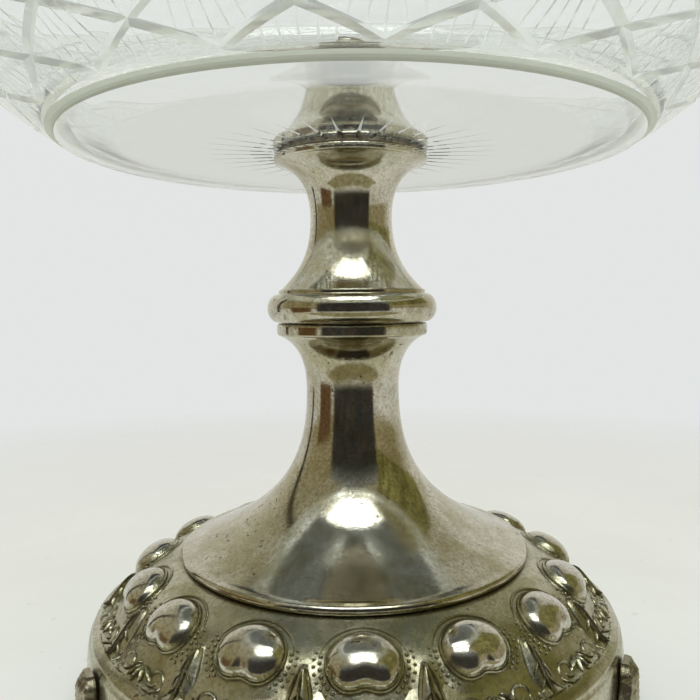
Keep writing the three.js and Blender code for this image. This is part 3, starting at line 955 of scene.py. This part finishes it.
def foot_section(height):
    """One level of the leaf, as points across its front and back along its back."""
    level = height / foot_top
    width = (foot_toe_half_width
             + (foot_belly_half_width - foot_toe_half_width) * smooth(level, *foot_swell)
             - (foot_belly_half_width - foot_tip_half_width) * smooth(level, *foot_narrowing))
    width *= 1 - foot_closing_share * smooth(level, *foot_closing)
    taper = 1 - foot_tip_taper * smooth(height, foot_top - foot_tip_length, foot_top)
    bare = wire_middle + wire_width / 2 + foot_gap
    pad = skirt_radius + foot_gap
    on_pad = smooth(height, pad_bottom - pad_ease, pad_bottom)
    on_pad *= 1 - smooth(height, pad_top, pad_top + pad_ease)
    toe = foot_toe_reach * (1 - smooth(level, 0, foot_toe_share))
    outside = bare + foot_leaf + toe - foot_tip_thinning * smooth(level, *foot_thinning)
    side = np.linspace(-1, 1, foot_sides)
    far = np.abs(side)
    rib = foot_rib_depth * 0.5 * np.cos(side * foot_ribs * math.pi) * (1 - far**3)
    behind = bare + (pad - bare) * on_pad
    edge = (outside - behind - foot_edge) * side**6
    rim = foot_rim_height * np.exp(-(((far - foot_rim_side) / foot_rim_width) ** 2))
    bumps = foot_bump
    for wave_across, wave_up in foot_bump_waves:
        bumps = bumps * np.sin(side * wave_across + height * wave_up)
    front = outside + rib - edge + rim + bumps * (1 - far**6)
    front_points = np.stack([side * width, front], 1)
    back_side = side[::-1][1:-1]
    back_points = np.stack([back_side * width * foot_back_share, np.full(len(back_side), behind)], 1)
    section = np.concatenate([front_points, back_points])
    spots = around(section[:, 1], section[:, 0] / section[:, 1], height)
    spots[:, 0] *= taper
    return spots


def foot_piece(name, turn):
    """One cast leaf, turned to its place."""
    low_levels = np.array(foot_low_levels)
    high_levels = foot_top - np.array(foot_high_levels)
    between = np.linspace(low_levels[-1], high_levels[0], foot_levels)
    heights = np.concatenate([low_levels[:-1], between, high_levels[1:]])
    rings = np.stack([foot_section(height) for height in heights])
    rows, columns = rings.shape[:2]
    faces = grid_faces(rows, columns, close_rows=False).tolist()
    for start in (0, (rows - 1) * columns):
        for i in range(foot_sides - 2):
            corners = [i, i + 1, (columns - i - 2) % columns, columns - i - 1]
            face = [start + c for n, c in enumerate(corners) if c not in corners[:n] and c < columns]
            if len(face) > 2:
                faces.append(face)
    spin = Matrix.Rotation(turn, 3, "Z")
    return piece(name, rings.reshape(-1, 3) @ np.array(spin).T, faces, [cast_silver], sharp=50)


for i, node in enumerate(["foot_back", "foot_left", "foot_right"]):
    place(foot_piece("leaf_" + node, math.pi + i * TAU / 3), node)


# Stems, knop and plate


def lower_stem_piece():
    """The trumpet with its bead, its collar and the socket in its top."""
    neck = (lower_neck_radius, lower_neck_height)
    flare_end = (trumpet_radius - bead_radius * 1.6, seat_height + bead_radius * 2)
    collar_bottom = collar_top - collar_thickness
    flare = sweep(neck, flare_end, flare_neck_pull, flare_foot_pull, 60)[::-1]
    throat = sweep(neck, (collar_radius - 1, collar_bottom), collar_neck_pull, collar_edge_pull, 30)[1:]
    wall = np.concatenate([flare, throat])
    bead = arc((trumpet_radius - bead_radius, seat_height + bead_radius), bead_radius, -90, 75, 14)
    socket = spigot_radius + socket_clearance
    floor = collar_top - spigot_length - socket_clearance
    lip = trumpet_lip_radius
    inside = [p for p in offset(wall, stem_wall)[::-1] if p[1] < floor - stem_wall and p[0] < lip - 1]
    collar = [
        (collar_radius - collar_low_edge[0], collar_bottom + collar_low_edge[1]),
        (collar_radius, collar_bottom + collar_round),
        (collar_radius, collar_top - collar_high_edge[1]),
        (collar_radius - collar_high_edge[0], collar_top),
    ]
    outline = [*bead, *wall, *collar, (socket, collar_top), (socket, floor), *inside,
               (lip, disc_top + socket_clearance), (lip, seat_height)]
    return turned("trumpet_stem", outline, silver)


def knop_piece():
    """The bulged ring with a spigot at each end and the web that the rod goes through."""
    knop_bottom = collar_top + knop_groove
    knop_top = knop_band_top - knop_band
    middle = (knop_bottom + knop_top) / 2
    cup = spigot_radius - spigot_wall
    half = (knop_top - knop_bottom) / 2
    reach = math.sin(math.radians(knop_bulge_angle))
    bulge = [(knop_radius - knop_bulge * (1 - across), middle + half * up / reach)
             for across, up in arc((0, 0), 1, -knop_bulge_angle, knop_bulge_angle, 30)]
    band = mouth_radius + knop_band_step
    outline = [
        (rod_hole, middle - web_thickness / 2), (cup, middle - web_thickness / 2),
        (cup, collar_top - spigot_length), (spigot_radius, collar_top - spigot_length),
        (spigot_radius, collar_top), (collar_radius - knop_groove * 3, collar_top),
        (collar_radius - knop_groove * 3, knop_bottom), *bulge,
        (band, knop_top + knop_band * 0.2), (band, knop_band_top), (spigot_radius, knop_band_top),
        (spigot_radius, knop_band_top + spigot_length), (cup, knop_band_top + spigot_length),
        (cup, middle + web_thickness / 2), (rod_hole, middle + web_thickness / 2),
    ]
    return turned("ring_knop", outline, silver, soft=0.25)


def upper_stem_piece():
    """The waisted stem with a socket at each end."""
    neck = (upper_neck_radius, upper_neck_height)
    mouth = sweep((mouth_radius, knop_band_top), neck, mouth_pull, mouth_neck_pull, 40)
    head = sweep(neck, (stem_top_radius, stem_top), top_neck_pull, top_edge_pull, 36)[1:]
    wall = np.concatenate([mouth, head])
    socket = spigot_radius + socket_clearance
    top_socket = plate_spigot_radius + socket_clearance
    low_floor = knop_band_top + spigot_length + socket_clearance
    high_floor = stem_top - plate_spigot_length - socket_clearance
    inside = [p for p in offset(wall, stem_wall)[::-1] if low_floor < p[1] < high_floor and p[0] < socket]
    outline = [*wall, (top_socket, stem_top), (top_socket, high_floor), *inside,
               (socket, low_floor), (socket, knop_band_top)]
    return turned("upper_stem_shell", outline, silver)


def plate_piece():
    """The round plate under the dish, with its spigot."""
    outline = [
        (rod_hole, stem_top - plate_spigot_length), (plate_spigot_radius, stem_top - plate_spigot_length),
        (plate_spigot_radius, stem_top), (plate_radius, stem_top), (plate_radius, plate_top),
        (rod_hole, plate_top),
    ]
    return turned("flange", outline, silver, soft=0.7)


place(lower_stem_piece(), "lower_stem")
place(knop_piece(), "knop")
place(upper_stem_piece(), "upper_stem")
place(plate_piece(), "dish_plate")


# Rod, nuts, washers and gaskets


def ring_piece(node, name, material):
    """A flat ring as large as its node."""
    hole, radius = radii(node)
    outline = [(hole, low(node)), (radius, low(node)), (radius, high(node)), (hole, high(node))]
    return turned(name, outline, material, steps=96, soft=0.15)


for node, name, material, slot in (
    ("lower_gasket", "gasket_under_dish", cork, "cork"),
    ("upper_gasket", "gasket_in_dish", cork, "cork"),
    ("dish_washer", "washer_in_dish", silver, "silver_plate"),
    ("clamp_washer", "big_washer", steel, "steel"),
):
    place(ring_piece(node, name, material), node)


def cap_nut_piece():
    """The pointed nut, with its thread's hole below."""
    radius = radii("cap_nut")[1]
    neck = cap_seat + cap_neck
    dome = sweep((radius - cap_edge, neck), (0, high("cap_nut")), cap_neck_pull, cap_tip_pull, 24)
    outline = [(0, neck), (thread_hole, neck), (thread_hole, cap_seat), (radius, cap_seat),
               (radius, neck - cap_edge), *dome]
    return turned("pointed_nut", outline, silver, steps=64, soft=0.3)


def rod_piece():
    """The tie rod, with a rolled thread at its lower end."""
    thread_top = nut_top + thread_above_nut
    top = high("tie_rod")
    turn = all_turns(rod_columns)
    rings = rings_at(turn, (rod_end_hole, rod_bottom), (rod_radius - thread_depth, rod_bottom))
    for height in np.arange(rod_bottom + thread_pitch / 2, thread_top, thread_pitch / 8):
        wave = np.abs(((height / thread_pitch - turn / TAU) % 1) * 2 - 1)
        fade = smooth(height, thread_top, thread_top - thread_runout)
        rings.append(around(rod_radius - thread_depth * wave * fade, turn, height))
    rings += rings_at(turn, (rod_radius, thread_top), (rod_radius, top - rod_edge),
                      (rod_radius - rod_edge, top), (rod_end_hole, top))
    faces = grid_faces(len(rings), rod_columns, close_rows=False).tolist()
    faces += end_faces(len(rings), rod_columns)
    return piece("threaded_rod", np.concatenate(rings), faces, [steel])


def nut_piece():
    """A hexagon nut with chamfered corners."""
    turn = all_turns(nut_columns)
    half_across = rod_radius + nut_wall
    corner = half_across / math.cos(math.pi / 6)
    hexagon = half_across / np.cos((turn + math.pi / 6) % (math.pi / 3) - math.pi / 6)
    rings = rings_at(turn, (thread_hole + nut_edge, nut_bottom))
    for height in np.linspace(0, nut_top - nut_bottom, nut_rows):
        from_end = min(height, nut_top - nut_bottom - height)
        reach = np.minimum(hexagon, corner * nut_corner_share + from_end * nut_corner_slope)
        rings.append(around(reach, turn, nut_bottom + height))
    rings += rings_at(turn, (thread_hole + nut_edge, nut_top), (thread_hole, nut_top - nut_edge),
                      (thread_hole, nut_bottom + nut_edge))
    faces = grid_faces(len(rings), nut_columns)
    return piece("hexagon_nut", np.concatenate(rings), faces, [steel], sharp=20)


place(cap_nut_piece(), "cap_nut")
place(rod_piece(), "tie_rod")
place(nut_piece(), "base_nut")


# Glass dish


def scallop(turn, height):
    """How far the rim dips at a turn, fading below the rim."""
    wave = 0.5 + 0.5 * np.cos((turn - dish_turn) * dish_pleats)
    return scallop_depth * smooth(height, rim_height - scallop_fade, rim_height) * wave


class DishWall(Outline):
    """The outside of the dish, measured by the way up along it."""

    def __init__(self):
        foot = (ring_outer_radius, dish_seat + ring_rise + ring_step)
        super().__init__(sweep(foot, (dish_rim_radius, rim_height), wall_foot_pull, wall_rim_pull, 400))
        self.last = self.way[-1] - mitre_margin

    def at(self, way, turn, depth=0.0):
        """Points in space from a way up the wall, a turn and a depth into the glass."""
        radius, height = self.beside(way, -depth)
        return around(radius, turn, height - scallop(turn, height))


wall_form = DishWall()


def diamond_stations():
    """Shares across a diamond where its face's points go, and the depths of its flutes there."""
    shares = [-1.0, -face_end]
    depths = [0.0, 0.0]
    for middle in flute_places:
        if len(shares) > 2:
            shares.append((shares[-1] + middle - flute_half_width) / 2)
            depths.append(0.0)
        shares += [middle - flute_half_width, middle, middle + flute_half_width]
        depths += [0.0, flute_depth, 0.0]
    return np.array([*shares, face_end, 1.0]), np.array([*depths, 0.0, 0.0])


face_shares, face_depths = diamond_stations()
edge_shares = np.linspace(-1, 1, len(face_shares))
pleat = TAU / dish_pleats
pleat_columns = len(face_shares) + 1
half_pleat = pleat_columns // 2
dish_columns = dish_pleats * pleat_columns
ray_columns = dish_columns // star_rays


def cell_at(middle, centre, across, up, depth):
    """Points of one diamond from shares across and up it."""
    rows = np.clip(centre + up, 0, mitre_rows)
    way = mitre_start + (wall_form.last - mitre_start) * rows / mitre_rows
    turn = dish_turn + pleat * (middle + across / 2)
    fade = np.clip(np.minimum(rows, mitre_rows - rows) / mitre_fade, 0, 1)
    return wall_form.at(way, turn, depth * fade)


def diamond(middle, centre):
    """One diamond between the crossing cuts: its fluted face and the flanks down to its sunk edges."""
    shares_up = np.array({0: lowest_rows, mitre_rows: highest_rows}.get(centre, diamond_rows))
    count = len(face_shares)
    closing = fan_closing if 0 < centre < mitre_rows else 1
    top_shares = np.sign(face_shares) * np.abs(face_shares) ** closing
    ends = {-1: face_shares * mitre_share, 1: top_shares * mitre_share}
    ups = {side: side * (mitre_share - np.abs(ends[side])) for side in ends}
    if centre == 0:
        ends[-1], ups[-1] = ends[1], ups[1] * 0
    if centre == mitre_rows:
        ends[1], ups[1] = ends[-1], ups[-1] * 0
    share = ((shares_up - shares_up[0]) / (shares_up[-1] - shares_up[0]))[:, None]
    face_across = ends[-1] * (1 - share) + ends[1] * share
    face_up = ups[-1] * (1 - share) + ups[1] * share
    cut = face_depths[None, :] * np.sqrt(4 * share * (1 - share))
    points = [cell_at(middle, centre, face_across, face_up, cut).reshape(-1, 3)]
    faces = grid_faces(len(shares_up), count, close_rows=False)
    faces = faces[faces[:, 1] > faces[:, 0]].tolist()
    in_flute = (face_depths[:-1] + face_depths[1:]) > 0
    ground = np.tile(in_flute, len(shares_up) - 1).tolist()
    total = len(points[0])
    for side in (1, -1):
        if centre == (mitre_rows if side > 0 else 0):
            continue
        points.append(cell_at(middle, centre, edge_shares, side * (1 - np.abs(edge_shares)), mitre_depth))
        start = (len(shares_up) - 1) * count if side > 0 else 0
        for i in range(count - 1):
            faces.append([start + i, start + i + 1, total + i + 1, total + i])
        ground += [True] * (count - 1)
        total += count
    return np.concatenate(points), faces, ground


def fitted_turns(shift):
    """Turns of a whole ring whose points meet the corners and faces of a row of diamonds."""
    within = np.concatenate([[0], 0.5 + 0.5 * mitre_share * face_shares])
    column = np.arange(dish_columns) + shift
    return dish_turn + pleat * (column // pleat_columns + within[column % pleat_columns])


def star_turns(radius):
    """Turns of a ring under the floor, with points at the middles and edges of the star's rays."""
    pitch = TAU / star_rays
    taper = np.clip((star_reach - radius) / (star_reach - star_start), 0, 1)
    edge = max(star_half_width * taper, star_least_half_width) / radius
    between = np.arange(ray_columns - 1) / (ray_columns - 2) * (pitch - 2 * edge)
    within = np.concatenate([[0], edge + between])
    column = np.arange(dish_columns) + half_pleat
    sunk = (column % ray_columns == 0) * star_depth * taper
    return dish_turn + column // ray_columns * pitch + within[column % ray_columns], sunk


def under_height(radius):
    """Height of the dish's underside, which rises from the seat to the ring it would stand on."""
    share = (radius - seat_ring_radius) / (ring_inner_radius - seat_ring_radius)
    return dish_seat + ring_rise * share**2


def dish_rings():
    """Rings from the cuts' upper edge over the rim, down the inside and below to their lower edge."""
    upper = fitted_turns(0) + pleat / 2
    lower = fitted_turns(half_pleat)
    rings = [wall_form.at(way, upper) for way in np.linspace(wall_form.last, wall_form.way[-1], 8)]

    def ring(radius, height, turns):
        rings.append(around(radius, turns, height - scallop(turns, height)))

    for tilt in np.linspace(0, math.pi, rim_points)[1:-1]:
        radius = dish_rim_radius - dish_wall / 2 * (1 - math.cos(tilt))
        ring(radius, rim_height + rim_round * math.sin(tilt), upper)
    inside = sweep((dish_rim_radius - dish_wall, rim_height), (dish_floor_radius, dish_floor),
                   inside_rim_pull, inside_floor_pull, wall_points)
    for share, (radius, height) in zip(np.linspace(0, 1, len(inside)), inside):
        ring(radius, height, upper + (lower - upper) * smooth(share, *wall_lean))
    for radius in (*floor_rings, floor_ring_radius, dish_hole_radius):
        ring(radius, dish_floor, lower)
    under_start = len(rings)
    for radius in (dish_hole_radius, seat_ring_radius):
        ring(radius, dish_seat, lower)
    for radius in np.linspace(star_start, star_reach, star_rows):
        turns, sunk = star_turns(radius)
        ring(radius, under_height(radius) + sunk, turns)
    for radius in (*under_rings, ring_inner_radius - under_edge, ring_inner_radius):
        ring(radius, under_height(radius), lower)
    under_end = len(rings) - 1
    tilt = math.atan2(ring_step, ring_width)
    for share, sunk in ring_cut_steps:
        depth = ring_cut_depth * sunk
        height = dish_seat + ring_rise + ring_step * share + depth * math.cos(tilt)
        ring(ring_inner_radius + ring_width * share - depth * math.sin(tilt), height, lower)
    rings += [wall_form.at(way, lower) for way in margin_ways]
    return np.stack(rings), slice(under_start, under_end)


def dish_piece():
    """The glass with its polished sides, its frosted ring and its ground cuts."""
    polished, frosted_ring, ground_cut, mirror_floor = range(4)
    rings, under = dish_rings()
    points = [rings.reshape(-1, 3)]
    faces = grid_faces(len(rings), dish_columns, close_rows=False).tolist()
    slots = np.full((len(rings) - 1, dish_columns), polished)
    slots[under] = mirror_floor
    beside_ray = np.isin((np.arange(dish_columns) + half_pleat) % ray_columns, (0, ray_columns - 1))
    slots[under.start + star_hidden_rows:under.start + star_rows + 1, beside_ray] = ground_cut
    margin_bands = len(margin_ways) - 1
    slots[-len(ring_cut_steps) - 1 - margin_bands:-margin_bands] = frosted_ring
    slots = slots.reshape(-1).tolist()
    total = len(points[0])
    for centre in range(mitre_rows + 1):
        for k in range(dish_pleats):
            cell_points, cell_faces, ground = diamond(k + 0.5 + (centre % 2) / 2, centre)
            points.append(cell_points)
            faces += [[total + c for c in face] for face in cell_faces]
            slots += [ground_cut if cut else polished for cut in ground]
            total += len(cell_points)
    materials = [glass, frosted, ground_glass, floor_glass]
    return piece("cut_glass_dish", np.concatenate(points), faces, materials, sharp=12, slots=slots)


place(dish_piece(), "glass_dish")


# Stage


def plane(name, size, centre, material):
    """A square on the stage, facing up."""
    bpy.ops.mesh.primitive_plane_add(size=size, location=centre)
    found = bpy.context.object
    found.name = name
    found.data.materials.append(material)
    return found


def card(name, centre, width, height, facing, color, streaks=None, upper=None, through=False):
    """A flat card in metres that only reflections see. It faces a point.

    It may have upright streaks, or another colour towards its upper edge. One that is seen
    through glass shows in the metal that mirrors the world beyond the dish.
    """
    shader = Shader(name)
    if streaks:
        share = shader.steps(shader.noise(4, 3, 0.6, stretch=(3, 0.7, 1)), 0.45, 0.65)
        color = shader.mix(share, color, streaks)
    if upper:
        color = shader.mix(shader.steps(shader.along("Y"), -0.5, 0.5), color, upper)
    glow = shader.surface(shader.node("Emission", {"Color": color}).outputs["Emission"])
    found = plane(name, 1, centre, glow)
    found.scale = (width, height, 1)
    found.rotation_euler = (Vector(facing) - Vector(centre)).to_track_quat("Z", "Y").to_euler()
    found.visible_camera = False
    found.visible_diffuse = False
    found.visible_transmission = through
    found.visible_shadow = False


def on_circle(distance, azimuth, height):
    """A place round the object, with its azimuth in degrees from the viewer's side to the right."""
    turn = math.radians(azimuth)
    return (distance * math.sin(turn), -distance * math.cos(turn), height)


def upright_card(name, distance, azimuth, width, bottom, top, color, **more):
    """A standing card that faces the object's axis."""
    middle = (bottom + top) / 2
    card(name, on_circle(distance, azimuth, middle), width, top - bottom, (0, 0, middle), color, **more)


def floor_material():
    """Off-white table that fades into the background far from the object and is clear from beneath."""
    shader = Shader("table")
    mottle = shader.noise(9, 5, 0.6)
    specks = shader.steps(shader.noise(160, 3, 0.6), 0.66, 0.74)
    color = shader.mix(shader.steps(mottle, 0.35, 0.7), table_color, table_shade)
    color = shader.mix(shader.product(specks, 0.25), color, rgb(0.5, 0.5, 0.46))
    cloth = shader.node("BsdfPrincipled", {"Base Color": color, "Roughness": 0.6,
                                           "Specular IOR Level": 0.2})
    far = shader.node("VectorMath", {0: shader.place()}, operation="LENGTH").outputs["Value"]
    beneath = shader.node("NewGeometry").outputs["Backfacing"]
    share = shader.math("MAXIMUM", shader.steps(far, fade_start, fade_end), beneath)
    clear = shader.node("BsdfTransparent").outputs["BSDF"]
    return shader.surface(shader.blend(share, cloth.outputs["BSDF"], clear))


table_color = rgb(0.885, 0.895, 0.9)
table_shade = rgb(0.84, 0.85, 0.85)
backdrop_color = rgb(0.77, 0.785, 0.78)
fade_start = 0.2
fade_end = 0.55
plane("table", 6, (0, 0, 0), floor_material())

card_dark = rgb(0.04, 0.042, 0.042)
brown = rgb(0.2, 0.12, 0.06)
olive = rgb(0.16, 0.145, 0.055)
lamp_height = 1.1
upright_card("front_dark", 0.42, 0, 0.95, -0.06, 0.34, card_dark, streaks=rgb(0.075, 0.06, 0.048))
upright_card("front_upper", 0.42, 0, 0.95, 0.34, 0.6, card_dark, upper=rgb(0.3, 0.31, 0.3), through=True)
upright_card("left_brown", 0.4, -71, 0.235, 0, 0.15, brown, streaks=rgb(0.1, 0.055, 0.03))
upright_card("right_olive", 0.55, 84, 0.86, 0.26, 1.2, olive, streaks=rgb(0.4, 0.38, 0.14), through=True)
upright_card("left_line", 0.6, -115, 0.07, 0.0, 1.1, rgb(0.03, 0.02, 0.012))
for name, x, y, width, depth, color in (
    ("ceiling", 0, 0.52, 1.15, 1.28, rgb(0.06, 0.07, 0.075)),
    ("right_brown", 0.62, -0.1, 0.38, 0.9, rgb(0.2, 0.17, 0.08)),
    ("lamp_edge", 0, -0.81, 0.72, 0.32, rgb(0.9, 0.94, 0.95)),
):
    card(name, (x, y, lamp_height), width, depth, (x, y, 0), color, through=True)
# Painted shade: an olive card lying on the table in front, seen only in reflections, darkens the table
# that the base's lower slopes mirror
card("painted_table_shade", (0, -0.19, 0.001), 0.5, 0.16, (0, -0.19, 1), rgb(0.36, 0.33, 0.2))


def studio_world():
    """Pale behind the object and in the glass, with a warm room round it for light and reflections."""
    shader = Shader("studio", "World")
    direction = shader.node("SeparateXYZ", {"Vector": shader.node("TexCoord").outputs["Generated"]})
    behind = shader.steps(direction.outputs["Y"], 0.2, 0.75)
    above = shader.steps(direction.outputs["Z"], 0.45, 0.9)
    below = shader.steps(direction.outputs["Z"], -0.02, 0.0, 1.0, 0.0)
    room = shader.mix(behind, rgb(0.38, 0.335, 0.21), rgb(0.78, 0.775, 0.72))
    room = shader.mix(above, room, rgb(0.4, 0.385, 0.3))
    room = shader.mix(below, room, rgb(0.7, 0.7, 0.66))
    path = shader.node("LightPath")
    seen = shader.math("MAXIMUM", path.outputs["Is Camera Ray"], path.outputs["Is Transmission Ray"])
    color = shader.mix(seen, room, backdrop_color)
    return shader.surface(shader.node("Background", {"Color": color}).outputs["Background"])


bpy.context.scene.world = studio_world()


def soft_light(name, centre, width, depth, power, mirrored=True):
    """A flat lamp in metres and watts, facing down."""
    lamp = bpy.data.lights.new(name, "AREA")
    lamp.shape = "RECTANGLE"
    lamp.size = width
    lamp.size_y = depth
    lamp.energy = power
    lamp.color = lamp_color
    found = bpy.data.objects.new(name, lamp)
    found.location = centre
    found.visible_glossy = mirrored
    bpy.context.scene.collection.objects.link(found)


lamp_color = (0.93, 0.97, 1.0)
soft_light("overhead", (0, -0.39, lamp_height), 0.75, 0.52, 5)
soft_light("fill", (0, 0, lamp_height * 1.2), 1.3, 1.3, 5.5, mirrored=False)


# Camera

camera_distance = 208
camera_height = 115
camera_side = math.radians(1.8)
camera_pitch = math.radians(4.08)
camera_yaw = math.radians(0.19)
camera_roll = math.radians(-0.56)
focal_pixels = 708
picture_pixels = 700
sensor = 36

lens = bpy.data.cameras.new("camera")
lens.sensor_width = sensor
lens.lens = focal_pixels / picture_pixels * sensor
lens.clip_start = 0.01
camera = bpy.data.objects.new("camera", lens)
camera.location = (-camera_distance * math.sin(camera_side) * MM,
                   -camera_distance * math.cos(camera_side) * MM, camera_height * MM)
turn = Matrix.Rotation(camera_yaw - camera_side, 4, "Z")
pitch = Matrix.Rotation(math.pi / 2 - camera_pitch, 4, "X")
roll = Matrix.Rotation(camera_roll, 4, "Z")
camera.matrix_world = Matrix.Translation(camera.location) @ turn @ pitch @ roll
bpy.context.scene.collection.objects.link(camera)
bpy.context.scene.camera = camera
bpy.context.scene.view_settings.view_transform = "Standard"


def corners(box):
    return [list(corner) for corner in box]
